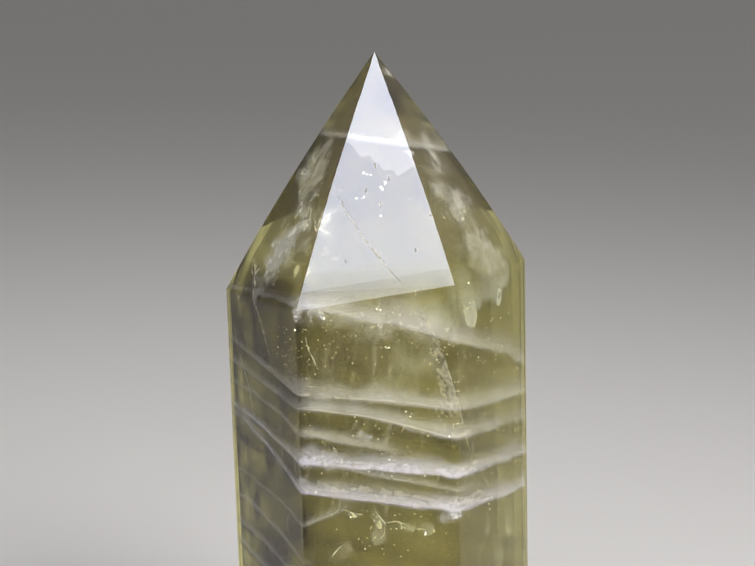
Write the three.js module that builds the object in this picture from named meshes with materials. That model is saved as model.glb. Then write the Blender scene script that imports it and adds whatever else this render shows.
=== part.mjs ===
// A polished citrine point: one quartz crystal, cut as a six-sided column under a six-sided tip.
// Millimetres, +Z up, the broad front face towards -Y, the flat base on Z = 0 under the middle of the box.
import * as THREE from "three";
import { ConvexGeometry } from "three/addons/geometries/ConvexGeometry.js";

// The tip stands 156 mm over the base, hardly off the axis.
const TIP = new THREE.Vector3(0.6, 0.4, 156);

// The column's six upright edges, anticlockwise from the front left: where each stands, and how high it runs
// before the tip facets begin. A hand-ground crystal keeps none of them quite alike.
const UPRIGHT_EDGES = [
  { x: -15.4, y: -26.0, shoulder: 110.3 },
  { x: 14.4, y: -26.0, shoulder: 114.5 },
  { x: 29.6, y: 0.0, shoulder: 114.0 },
  { x: 16.9, y: 26.2, shoulder: 113.2 },
  { x: -17.3, y: 25.4, shoulder: 111.0 },
  { x: -30.4, y: 0.3, shoulder: 109.5 },
];

// How far the tip facets bow outwards half way up, from grinding by hand.
const FACET_CROWN = 0.95;
// Each bowed facet is made of this many flat strips from shoulder to tip.
const FACET_STRIPS = 14;
// Every edge is broken by a narrow polished flat of this width.
const EDGE_BREAK = 0.3;
// How much the polish takes off the very tip.
const TIP_BLUNTING = 0.12;

const HALF_BREAK = EDGE_BREAK / 2;

/** A point on the ridge that climbs from the shoulder of one upright edge to the tip; rise runs from 0 to 1. */
function ridgePoint(edge, rise) {
  const shoulder = new THREE.Vector3(edge.x, edge.y, edge.shoulder);
  const outward = new THREE.Vector3(edge.x - TIP.x, edge.y - TIP.y, 0).normalize();
  const bow = FACET_CROWN * 4 * rise * (1 - rise);
  return shoulder.lerp(TIP, rise).addScaledVector(outward, bow);
}

/** The two points just inside a face at one level, each half an edge break in from the corner beside it. */
function insetPair(left, right) {
  const along = right.clone().sub(left).normalize().multiplyScalar(HALF_BREAK);
  return [left.clone().add(along), right.clone().sub(along)];
}

/** The corner points of one upright face, inset from its four edges. */
function columnFace(left, right) {
  const foot = insetPair(
    new THREE.Vector3(left.x, left.y, HALF_BREAK),
    new THREE.Vector3(right.x, right.y, HALF_BREAK),
  );
  const head = insetPair(
    new THREE.Vector3(left.x, left.y, left.shoulder - HALF_BREAK),
    new THREE.Vector3(right.x, right.y, right.shoulder - HALF_BREAK),
  );
  return [...foot, ...head];
}

/** The points of one tip facet, strip by strip, from just over the shoulder to where its ridges meet. */
function tipFacet(left, right) {
  const points = [];
  const slant = ridgePoint(left, 0).distanceTo(TIP);
  const firstRise = HALF_BREAK / slant;
  for (let strip = 0; strip <= FACET_STRIPS; strip += 1) {
    const rise = Math.max(strip / FACET_STRIPS, firstRise);
    const leftRidge = ridgePoint(left, rise);
    const rightRidge = ridgePoint(right, rise);
    if (leftRidge.distanceTo(rightRidge) > EDGE_BREAK) points.push(...insetPair(leftRidge, rightRidge));
  }
  return points;
}

/** The corner of the flat base under one upright edge, drawn in from the column by half an edge break. */
function baseCorner(edge) {
  const corner = new THREE.Vector3(edge.x, edge.y, 0);
  return corner.setLength(corner.length() - EDGE_BREAK);
}

/** The whole crystal: the convex solid around its inset faces, so that every edge comes out broken. */
function crystalGeometry() {
  const points = [new THREE.Vector3(TIP.x, TIP.y, TIP.z - TIP_BLUNTING)];
  UPRIGHT_EDGES.forEach((edge, i) => {
    const next = UPRIGHT_EDGES[(i + 1) % UPRIGHT_EDGES.length];
    points.push(...columnFace(edge, next), ...tipFacet(edge, next), baseCorner(edge));
  });
  const geometry = new ConvexGeometry(points);
  geometry.computeBoundingBox();
  const middle = geometry.boundingBox.getCenter(new THREE.Vector3());
  return geometry.translate(-middle.x, -middle.y, 0);
}

// Olive-yellow transparent quartz with a high polish.
const citrine = new THREE.MeshStandardMaterial({
  name: "polished_citrine",
  color: "#8f8a5c",
  roughness: 0.05,
  metalness: 0,
  transparent: true,
  opacity: 0.6,
});

const crystalPoint = new THREE.Mesh(crystalGeometry(), citrine);
crystalPoint.name = "crystal_point";

const part = new THREE.Group();
part.add(crystalPoint);

export default part;
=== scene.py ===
"""A polished citrine point: clear quartz, with its growth veils, clouds and cracks sealed inside."""

import logging
import math
from dataclasses import dataclass, field
from enum import Enum
from typing import Any, Callable, Mapping, Optional

import bpy
import numpy as np
from mathutils import Matrix, Vector


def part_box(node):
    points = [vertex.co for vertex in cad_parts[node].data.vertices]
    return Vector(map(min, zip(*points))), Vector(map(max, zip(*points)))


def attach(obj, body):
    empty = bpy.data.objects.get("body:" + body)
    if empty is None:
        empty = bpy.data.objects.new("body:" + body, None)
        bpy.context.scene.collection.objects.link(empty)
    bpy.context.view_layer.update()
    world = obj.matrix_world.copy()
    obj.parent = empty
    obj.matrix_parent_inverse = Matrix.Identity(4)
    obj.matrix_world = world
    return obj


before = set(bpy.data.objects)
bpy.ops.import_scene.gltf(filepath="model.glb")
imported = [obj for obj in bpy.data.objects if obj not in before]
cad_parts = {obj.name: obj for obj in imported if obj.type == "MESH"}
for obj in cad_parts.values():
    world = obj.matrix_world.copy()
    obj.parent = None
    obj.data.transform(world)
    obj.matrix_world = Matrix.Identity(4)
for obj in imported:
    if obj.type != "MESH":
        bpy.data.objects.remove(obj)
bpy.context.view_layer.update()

BODY = "root"
MM = 0.001
COVER = "cover"
LOG = logging.getLogger("citrine_point")

Colour = tuple[float, float, float, float]
Point = tuple[float, float, float]
Placing = Callable[[np.ndarray], np.ndarray]


class Milk(Enum):
    """How milky a growth veil is: the name and the white of its finish."""

    THIN = ("milky_growth_veil", "#e6e3e0")
    DENSE = ("dense_growth_veil", "#e9e6f2")


class Parting(Enum):
    """How cloudiness parts into clear stone and milk: the values that count as none and as full."""

    SOFT = (0.2, 0.8)
    MIDDLING = (0.25, 0.75)
    CRISP = (0.3, 0.7)
    HAZE = (0.3, 0.72)
    WISP = (0.25, 0.7)
    LOBE = (0.2, 0.75)


def linear(hex_colour: str) -> Colour:
    """Turn an sRGB hex colour into the linear colour that shaders take.

    Args:
        hex_colour: six hex digits after a hash sign.

    Returns:
        Red, green and blue in linear light, with a full alpha.
    """
    parts = [int(hex_colour[i : i + 2], 16) / 255 for i in (1, 3, 5)]
    red, green, blue = (p / 12.92 if p <= 0.04045 else ((p + 0.055) / 1.055) ** 2.4 for p in parts)
    return red, green, blue, 1.0


def add(
    tree: bpy.types.NodeTree,
    kind: str,
    settings: Optional[Mapping[str, Any]] = None,
    links: Optional[Mapping[Any, bpy.types.NodeSocket]] = None,
    values: Optional[Mapping[Any, Any]] = None,
) -> bpy.types.Node:
    """Add one node with its settings, incoming links and socket values.

    Args:
        tree: the node tree that takes the node.
        kind: the node's Blender type name.
        settings: properties of the node itself, such as its operation.
        links: output sockets to join to this node's inputs, by input name or number.
        values: numbers and colours for unlinked inputs, by input name or number.

    Returns:
        The new node.
    """
    node = tree.nodes.new(kind)
    for name, value in (settings or {}).items():
        setattr(node, name, value)
    for name, value in (values or {}).items():
        node.inputs[name].default_value = value
    for name, source in (links or {}).items():
        tree.links.new(source, node.inputs[name])
    return node


def new_material(name: str) -> tuple[bpy.types.Material, bpy.types.NodeTree]:
    """Make an empty node material.

    Args:
        name: the material's name.

    Returns:
        The material and its cleared node tree.
    """
    material = bpy.data.materials.new(name)
    material.use_nodes = True
    material.node_tree.nodes.clear()
    return material, material.node_tree


@dataclass(frozen=True)
class PolishedCitrine:
    """Quartz tinted olive yellow by iron and ground on a flat lap: clear, deep and faintly waved."""

    # Quartz bends light by 1.544 to 1.553.
    ior: float = 1.55
    tint: str = "#e6e28c"
    density_per_m: float = 62.0
    # A lapped face waves by a few thousandths of a millimetre over about a centimetre.
    wave_mm: float = 9.0
    wave_height_mm: float = 0.003

    def material(self) -> bpy.types.Material:
        """Build the finish: full transmission at the index of quartz, with absorption in its depth.

        Returns:
            The finish.
        """
        # A flat lap leaves mirror-sharp faces whose low waves only just bend the edge of a reflection.
        material, tree = new_material("citrine_lap_polished")
        place = add(tree, "ShaderNodeTexCoord")
        waves = add(
            tree,
            "ShaderNodeTexNoise",
            links={"Vector": place.outputs["Object"]},
            values={"Scale": 1 / (self.wave_mm * MM), "Detail": 1.0},
        )
        bump = add(
            tree,
            "ShaderNodeBump",
            links={"Height": waves.outputs["Fac"]},
            values={"Distance": self.wave_height_mm * MM, "Strength": 1.0},
        )
        shader = add(
            tree,
            "ShaderNodeBsdfPrincipled",
            links={"Normal": bump.outputs["Normal"]},
            values={
                "Base Color": linear("#ffffff"),
                "Roughness": 0.0,
                "IOR": self.ior,
                "Transmission Weight": 1.0,
            },
        )
        depth = add(
            tree,
            "ShaderNodeVolumeAbsorption",
            values={"Color": linear(self.tint), "Density": self.density_per_m},
        )
        add(
            tree,
            "ShaderNodeOutputMaterial",
            links={"Surface": shader.outputs["BSDF"], "Volume": depth.outputs["Volume"]},
        )
        return material


@dataclass(frozen=True)
class MilkyVeil:
    """A sheet of fluid bubbles too small to see, sealed in as the crystal grew: dull, white and wispy."""

    name: str
    colour: str = "#e6e3e0"
    # Bubbles are hundredths of a millimetre wide: the wisps they gather in are drawn this coarse, to show.
    wisp_mm: float = 0.8
    wisp_low: float = 0.75
    thin_grain: float = 0.3
    full_grain: float = 0.7

    def material(self) -> bpy.types.Material:
        """Build the finish: a dull white whose cover is the mesh's own, broken up into fine wisps.

        Returns:
            The finish.
        """
        # Bubbles scatter light every way, so the sheet looks like thin milk and never shines.
        material, tree = new_material(self.name)
        place = add(tree, "ShaderNodeTexCoord")
        cover = add(tree, "ShaderNodeAttribute", {"attribute_name": COVER})
        wisps = add(
            tree,
            "ShaderNodeTexNoise",
            links={"Vector": place.outputs["Object"]},
            values={"Scale": 1 / (self.wisp_mm * MM), "Detail": 1.0, "Roughness": 0.6},
        )
        broken = add(
            tree,
            "ShaderNodeMapRange",
            links={"Value": wisps.outputs["Fac"]},
            values={
                "From Min": self.thin_grain,
                "From Max": self.full_grain,
                "To Min": self.wisp_low,
                "To Max": 1.0,
            },
        )
        alpha = add(
            tree,
            "ShaderNodeMath",
            {"operation": "MULTIPLY", "use_clamp": True},
            {0: cover.outputs["Fac"], 1: broken.outputs["Result"]},
        )
        shader = add(
            tree,
            "ShaderNodeBsdfPrincipled",
            links={"Alpha": alpha.outputs[0]},
            values={"Base Color": linear(self.colour), "Roughness": 0.8, "Specular IOR Level": 0.0},
        )
        add(tree, "ShaderNodeOutputMaterial", links={"Surface": shader.outputs["BSDF"]})
        return material


@dataclass(frozen=True)
class ColourAndShadeHaze:
    """A haze of flat colour in the stone, with no grain of its own, used for faint colour zones and for
    painted shade: it dims and tints what is behind.
    """

    name: str
    colour: str

    def material(self) -> bpy.types.Material:
        """Build the finish: an even dull colour whose cover is the mesh's own.

        Returns:
            The finish.
        """
        # Colour zones in quartz end in a blur, so the eye only sees the stone's depth darken or dull.
        material, tree = new_material(self.name)
        cover = add(tree, "ShaderNodeAttribute", {"attribute_name": COVER})
        shader = add(
            tree,
            "ShaderNodeBsdfPrincipled",
            links={"Alpha": cover.outputs["Fac"]},
            values={"Base Color": linear(self.colour), "Roughness": 0.9, "Specular IOR Level": 0.0},
        )
        add(tree, "ShaderNodeOutputMaterial", links={"Surface": shader.outputs["BSDF"]})
        return material


@dataclass(frozen=True)
class StudioPaper:
    """Matt seamless paper: pale, even and without gloss."""

    colour: str = "#888683"
    # Paper fibre is a fraction of a millimetre, so its mottle is drawn some 17 mm wide to show at all.
    mottle_per_m: float = 60.0
    mottle_height_m: float = 0.0002
    mottle_strength: float = 0.1

    def material(self) -> bpy.types.Material:
        """Build the finish: a dull pale surface with the faintest mottle.

        Returns:
            The finish.
        """
        # Uncoated rolled paper is dull and even, so shadows on it stay soft and nothing is mirrored.
        material, tree = new_material("matt_backdrop_paper")
        place = add(tree, "ShaderNodeTexCoord")
        mottle = add(
            tree,
            "ShaderNodeTexNoise",
            links={"Vector": place.outputs["Object"]},
            values={"Scale": self.mottle_per_m},
        )
        bump = add(
            tree,
            "ShaderNodeBump",
            links={"Height": mottle.outputs["Fac"]},
            values={"Strength": self.mottle_strength, "Distance": self.mottle_height_m},
        )
        shader = add(
            tree,
            "ShaderNodeBsdfPrincipled",
            links={"Normal": bump.outputs["Normal"]},
            values={"Base Color": linear(self.colour), "Roughness": 0.9, "Specular IOR Level": 0.1},
        )
        add(tree, "ShaderNodeOutputMaterial", links={"Surface": shader.outputs["BSDF"]})
        return material


@dataclass(frozen=True)
class Cloudiness:
    """Smooth seeded cloudiness, from 0 to 1: lumps of one size with finer, fainter ones on them."""

    seed: int
    lump_mm: Point
    octaves: int = 4
    cells: int = 24
    octave_shift: float = 7.3

    def at(self, points: np.ndarray) -> np.ndarray:
        """Read the cloudiness at each point.

        Args:
            points: rows of x, y, z in millimetres.

        Returns:
            One number for each point, around 0.5.
        """
        lattice = np.random.RandomState(self.seed).uniform(size=(self.cells,) * 3)
        total, weight, share = np.zeros(len(points)), 0.0, 1.0
        place = points / np.array(self.lump_mm) + self.cells
        for _ in range(self.octaves):
            total += share * self._between(lattice, place)
            weight += share
            share, place = share / 2, place * 2 + self.octave_shift
        return total / weight

    def _between(self, lattice: np.ndarray, place: np.ndarray) -> np.ndarray:
        """Blend the eight lattice values around each place.

        Args:
            lattice: random values on a cube of cells.
            place: rows of x, y, z counted in cells.

        Returns:
            One blended value for each place.
        """
        low = np.floor(place).astype(int)
        part = place - low
        part = part * part * (3 - 2 * part)
        total = np.zeros(len(place))
        for corner in np.ndindex(2, 2, 2):
            step = np.array(corner)
            weight = np.where(step, part, 1 - part).prod(axis=1)
            cell = (low + step) % self.cells
            total += weight * lattice[cell[:, 0], cell[:, 1], cell[:, 2]]
        return total


def contrast(values: np.ndarray, low: float, high: float) -> np.ndarray:
    """Stretch values so that low becomes 0 and high becomes 1, smoothly and with nothing outside."""
    part = np.clip((values - low) / (high - low), 0, 1)
    return part * part * (3 - 2 * part)


def parted(cloudiness: np.ndarray, parting: Parting) -> np.ndarray:
    """Part cloudiness into clear stone, 0, and full milk, 1."""
    return contrast(cloudiness, *parting.value)


def at_least(least: float, values: np.ndarray) -> np.ndarray:
    """Squeeze values that run from 0 to 1 so that they run from the least to 1."""
    return least + (1 - least) * values


def mixed(shares: tuple[float, float, float], first: np.ndarray, second: np.ndarray) -> np.ndarray:
    """Add an even share, a share of the first pattern and a share of the second."""
    return shares[0] + shares[1] * first + shares[2] * second


def even(size_mm: float) -> Point:
    """Give the size of a lump that is as wide as it is deep and tall."""
    return size_mm, size_mm, size_mm


def grid_faces(rows: int, columns: int, closed: bool, first: int = 0) -> list[tuple[int, ...]]:
    """List the quads of a grid of points stored row by row.

    Args:
        rows: how many rows of points.
        columns: how many points in each row.
        closed: whether each row joins its own start.
        first: the number of the grid's first point.

    Returns:
        Vertex numbers of each quad.
    """
    faces: list[tuple[int, ...]] = []
    for row in range(rows - 1):
        low, high = first + row * columns, first + (row + 1) * columns
        for here in range(columns if closed else columns - 1):
            after = (here + 1) % columns
            faces.append((low + here, high + here, high + after, low + after))
    return faces


def sealed_piece(
    name: str,
    points: np.ndarray,
    faces: list[tuple[int, ...]],
    cover: np.ndarray,
    material: bpy.types.Material,
) -> bpy.types.Object:
    """Make one thing sealed in the crystal: a smooth mesh that carries its own cover.

    Args:
        name: the piece's name.
        points: rows of x, y, z in millimetres.
        faces: vertex numbers of each face.
        cover: how much of what is behind each point is hidden, from 0 to 1.
        material: its finish.

    Returns:
        The piece, fixed to the crystal's body.
    """
    mesh = bpy.data.meshes.new(name)
    mesh.from_pydata((points * MM).tolist(), [], faces)
    mesh.polygons.foreach_set("use_smooth", [True] * len(mesh.polygons))
    mesh.attributes.new(COVER, "FLOAT", "POINT").data.foreach_set("value", np.clip(cover, 0, 1))
    mesh.materials.append(material)
    mesh.update()
    piece = bpy.data.objects.new(name, mesh)
    bpy.context.scene.collection.objects.link(piece)
    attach(piece, BODY)
    LOG.info("%s: %d faces, %s", name, len(faces), material.name)
    return piece


@dataclass
class CrystalShape:
    """The outside of the crystal as flat faces, which everything sealed inside keeps within."""

    node: str = "crystal_point"
    least_upright_mm2: float = 500.0
    level_normal: float = 0.01
    press_rounds: int = 6
    halvings: int = 24
    normals: np.ndarray = field(init=False)
    offsets: np.ndarray = field(init=False)
    upright: np.ndarray = field(init=False)
    height: float = field(init=False)

    def __post_init__(self) -> None:
        """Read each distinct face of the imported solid, in millimetres."""
        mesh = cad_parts[self.node].data
        areas: dict[tuple[float, ...], float] = {}
        for face in mesh.polygons:
            normal = face.normal
            offset = normal.dot(mesh.vertices[face.vertices[0]].co) / MM
            plane = (round(normal.x, 4), round(normal.y, 4), round(normal.z, 4), round(offset, 2))
            areas[plane] = areas.get(plane, 0.0) + face.area / MM**2
        planes = np.array(sorted(areas))
        self.normals, self.offsets = planes[:, :3], planes[:, 3]
        broad = [plane for plane in sorted(areas) if areas[plane] > self.least_upright_mm2]
        self.upright = np.array([plane for plane in broad if abs(plane[2]) < self.level_normal])
        self.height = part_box(self.node)[1].z / MM

    def depth(self, points: np.ndarray) -> np.ndarray:
        """How far inside the nearest face each point is, in millimetres, negative outside."""
        return (self.offsets - points @ self.normals.T).min(axis=1)

    def along_face(self, points: np.ndarray) -> np.ndarray:
        """Where each point lies behind the nearest upright face.

        Args:
            points: rows of x, y, z in millimetres.

        Returns:
            Rows of distance along the face, depth behind it and the face's number.
        """
        depths = self.upright[:, 3] - points @ self.upright[:, :3].T
        nearest = depths.argmin(axis=1)
        normal = self.upright[nearest]
        along = points[:, 1] * normal[:, 0] - points[:, 0] * normal[:, 1]
        return np.column_stack([along, depths.min(axis=1), nearest])

    def keep_within(self, points: np.ndarray, skin: float) -> np.ndarray:
        """Press points that stand outside, or too near a face, back in.

        Args:
            points: rows of x, y, z in millimetres.
            skin: how far inside the faces they have to stay, in millimetres.

        Returns:
            The points, moved where they had to be.
        """
        pressed = points.copy()
        for _ in range(self.press_rounds):
            depths = self.offsets - pressed @ self.normals.T
            nearest = depths.argmin(axis=1)
            short = np.maximum(0, skin - depths.min(axis=1))
            pressed -= self.normals[nearest] * short[:, None]
        return pressed

    def reach(self, most: float, place: Placing, count: int, skin: float) -> np.ndarray:
        """How far each ray can go before it comes within a skin of the outside.

        Args:
            most: the largest distance to try, in millimetres.
            place: turns one distance for each ray into points.
            count: how many rays there are.
            skin: how far inside the faces to stop, in millimetres.

        Returns:
            One distance for each ray.
        """
        low, high = np.zeros(count), np.full(count, most)
        for _ in range(self.halvings):
            middle = (low + high) / 2
            inside = self.depth(place(middle)) > skin
            low, high = np.where(inside, middle, low), np.where(inside, high, middle)
        return low


@dataclass
class Growing:
    """A mesh in the making: points, faces and cover, gathered grid by grid."""

    points: list[np.ndarray] = field(default_factory=list)
    cover: list[np.ndarray] = field(default_factory=list)
    faces: list[tuple[int, ...]] = field(default_factory=list)
    count: int = 0
    least_cover: float = 0.004

    def grid(self, points: np.ndarray, cover: np.ndarray, closed: bool) -> None:
        """Add a grid of points.

        Args:
            points: rows by columns of x, y, z in millimetres.
            cover: rows by columns of cover.
            closed: whether each row joins its own start.
        """
        rows, columns = cover.shape
        self.faces += grid_faces(rows, columns, closed, self.count)
        self.points.append(points.reshape(-1, 3))
        self.cover.append(cover.reshape(-1))
        self.count += rows * columns

    def piece(self, name: str, material: bpy.types.Material) -> bpy.types.Object:
        """Make the finished piece of everything gathered, without the parts too faint to see.

        Args:
            name: the piece's name.
            material: its finish.

        Returns:
            The piece.
        """
        points = np.vstack(self.points)
        cover = np.concatenate(self.cover)
        faces = np.array(self.faces)
        faces = faces[cover[faces].max(axis=1) > self.least_cover]
        used, numbers = np.unique(faces, return_inverse=True)
        kept = [tuple(face) for face in numbers.reshape(faces.shape).tolist()]
        return sealed_piece(name, points[used], kept, cover[used], material)


@dataclass
class GrowthVeil:
    """One old crystal surface, a folded sheet right across the column that ends just under its faces.

    Its height is level in the middle of the front face. It changes by lean_x for each millimetre to the
    right and lean_y for each to the back, and left of the front left edge it bends up by fold, over
    fold_mm. It shows only within its span from left to right. Close under the faces a ragged mist stands
    on it, made of thin curtains of bubbles one behind another.
    """

    name: str
    level: float
    lean_x: float
    lean_y: float = -0.05
    fold: float = 0.6
    fold_mm: float = 9.0
    line: float = 0.85
    mist: float = 0.35
    line_mm: float = 5.0
    fade_mm: float = 18.0
    core: float = 0.06
    curtain: float = 0.5
    curtain_mm: float = 3.2
    span: tuple[float, float] = (-99.0, 99.0)
    seed: int = 1
    milk: Milk = Milk.THIN
    share: float = 0.86
    # Painted shade: the milk is thinned towards the left faces and towards the right faces by the left and
    # right shares.
    left_shade_share: float = 0.9
    left_height: float = 0.45
    right_shade_share: float = 0.6

    # The sheet: where it bends, how it ripples and how finely it is drawn.
    front_y: float = -26.0
    fold_x: float = -15.0
    ripple_mm: float = 1.8
    ripple_lump_mm: float = 15.0
    skin: float = 0.25
    farthest_mm: float = 60.0
    turns: int = 360
    rings: int = 26
    innermost: float = 0.02
    crowding: float = 2.0

    # Its milk: how it fades at the sides, and the even, first and second share of the patterns in it.
    soft_mm: float = 8.0
    side_from_mm: float = 14.0
    side_to_mm: float = 18.0
    lump_mm: Point = (9.0, 9.0, 30.0)
    patch_mm: float = 5.0
    mist_mix: tuple[float, float, float] = (0.3, 0.4, 0.3)
    line_mix: tuple[float, float, float] = (0.45, 0.35, 0.2)
    line_from_mm: float = 2.0

    # Trails of bubbles: coarse ones with threads in them, unlike from one face to the next.
    trail_mm: Point = (3.5, 14.0, 6.0)
    thread_mm: Point = (0.9, 10.0, 6.0)
    thread_share: float = 0.25
    face_apart_mm: float = 43.0
    trail_rise: float = 0.15

    # The curtains: how deep they stand, how tall they are and how they thin out upwards.
    curtain_depths: tuple[float, ...] = (0.5, 1.2, 3.5, 7.0)
    curtain_least: float = 0.4
    curtain_spread: float = 1.4
    curtain_lump_mm: float = 5.0
    curtain_side_mm: float = 13.0
    curtain_even: float = 0.5
    waver_mm: float = 1.2
    waver_lump_mm: float = 3.5
    hem_rows: int = 9
    hem_drop: float = 0.6
    hem_rise: float = 0.3
    hem_crowding: float = 1.5
    thinning: float = 1.4
    clear_mm: float = 0.1

    def height(self, plan: np.ndarray) -> np.ndarray:
        """Find the sheet's height over each plan point.

        Args:
            plan: rows of x, y in millimetres.

        Returns:
            One height for each point, in millimetres.
        """
        x, y = plan[:, 0], plan[:, 1]
        beyond = np.maximum(0, self.fold_x - x)
        rise = self.fold * self.fold_mm * (1 - np.exp(-beyond / self.fold_mm))
        flat = np.column_stack([plan, np.zeros(len(plan))])
        ripple = self.ripple_mm * (Cloudiness(self.seed, even(self.ripple_lump_mm), 2).at(flat) - 0.5)
        return self.level + self.lean_x * x + self.lean_y * (y - self.front_y) + rise + ripple

    def within(self, points: np.ndarray) -> np.ndarray:
        """Find the share of the milk that each point has, by where it is from left to right, thinned towards
        the left and right faces as painted shade.

        Args:
            points: rows of x, y, z in millimetres.

        Returns:
            One share for each point, which falls softly to 0 at the ends of the span.
        """
        low, high = self.span
        across = points[:, 0]
        # Painted shade: less milk towards the left faces and towards the right faces.
        left = 1 - (1 - self.left_shade_share) * contrast(-across, self.side_from_mm, self.side_to_mm)
        right = 1 - (1 - self.right_shade_share) * contrast(across, self.side_from_mm, self.side_to_mm)
        ends = contrast(across, low, low + self.soft_mm)
        ends *= 1 - contrast(across, high - self.soft_mm, high)
        return self.share * left * right * ends

    def streaks(self, shape: CrystalShape, points: np.ndarray) -> np.ndarray:
        """Find the trails of bubbles that run inwards from the faces.

        Args:
            shape: the crystal's outside.
            points: rows of x, y, z in millimetres.

        Returns:
            How much of a trail is at each point, from 0 to 1.
        """
        lie = shape.along_face(points)
        lie[:, 0] += self.face_apart_mm * lie[:, 2]
        lie[:, 2] = points[:, 2] * self.trail_rise
        coarse = Cloudiness(self.seed + 5, self.trail_mm, 3).at(lie)
        fine = Cloudiness(self.seed + 6, self.thread_mm, 2).at(lie)
        return parted((1 - self.thread_share) * coarse + self.thread_share * fine, Parting.SOFT)

    def build(self, shape: CrystalShape, material: bpy.types.Material) -> bpy.types.Object:
        """Spread the sheet as rings around the axis, each ray stopped at the skin, with its mist on it.

        Args:
            shape: the crystal's outside.
            material: the sheet's finish.

        Returns:
            The finished sheet.
        """
        angles = np.linspace(0, 2 * math.pi, self.turns, endpoint=False)
        aim = np.column_stack([np.cos(angles), np.sin(angles)])

        def place(distance: np.ndarray) -> np.ndarray:
            """Lay one point on the sheet for each ray, at its distance from the axis."""
            plan = aim * distance[:, None]
            return np.column_stack([plan, self.height(plan)])

        growing = Growing()
        reach = shape.reach(self.farthest_mm, place, self.turns, self.skin)
        shares = 1 - (1 - np.linspace(self.innermost, 1, self.rings)) ** self.crowding
        spread = np.stack([place(reach * share) for share in shares])
        flat = spread.reshape(-1, 3)
        rim = shape.depth(flat)
        streaks = self.streaks(shape, flat)
        lumps = parted(Cloudiness(self.seed + 1, self.lump_mm, 4).at(flat), Parting.MIDDLING)
        patches = parted(Cloudiness(self.seed + 2, even(self.patch_mm), 3).at(flat), Parting.SOFT)
        mist = self.mist * np.exp(-rim / self.fade_mm) * mixed(self.mist_mix, lumps, streaks)
        line = self.line * np.exp(-rim / self.line_mm) * mixed(self.line_mix, patches, streaks)
        line *= contrast(rim, self.skin, self.line_from_mm)
        cover = self.within(flat) * (1 - (1 - mist) * (1 - line) * (1 - self.core * lumps))
        growing.grid(spread, cover.reshape(self.rings, self.turns), True)
        for depth in self.curtain_depths:
            self.hang_curtain(shape, growing, place, depth)
        return growing.piece(self.name, material)

    def hang_curtain(self, shape: CrystalShape, growing: Growing, place: Placing, depth: float) -> None:
        """Stand one curtain of mist on the sheet, all the way round.

        Args:
            shape: the crystal's outside.
            growing: the mesh that takes the curtain.
            place: turns one distance for each ray into points on the sheet.
            depth: how far behind the faces it stands, in millimetres.
        """
        foot = place(shape.reach(self.farthest_mm, place, self.turns, depth))
        tufts = Cloudiness(self.seed + 7, even(self.curtain_lump_mm), 3).at(foot + depth)
        tall = self.curtain_mm * (self.curtain_least + self.curtain_spread * tufts)
        leftwards = contrast(-foot[:, 0], self.curtain_side_mm, self.side_to_mm)
        tall *= 1 - (1 - self.left_height) * leftwards
        waver = Cloudiness(self.seed + 9, even(self.waver_lump_mm), 3).at(foot + depth) - 0.5
        foot[:, 2] += self.waver_mm * waver
        shares = np.linspace(0, 1, self.hem_rows) ** self.hem_crowding
        rise = np.outer(shares, tall + self.hem_drop) - self.hem_drop
        hem = np.stack([foot] * self.hem_rows)
        hem[:, :, 2] += rise
        flat = hem.reshape(-1, 3)
        fall = contrast(rise, -self.hem_drop, self.hem_rise)
        fall *= (1 - np.maximum(rise, 0) / tall) ** self.thinning
        streaks = at_least(self.curtain_even, self.streaks(shape, flat + depth))
        cover = self.within(flat) * self.curtain * fall.reshape(-1) * streaks
        inside = shape.depth(flat) > self.clear_mm
        growing.grid(hem, (cover * inside).reshape(self.hem_rows, self.turns), True)


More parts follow.
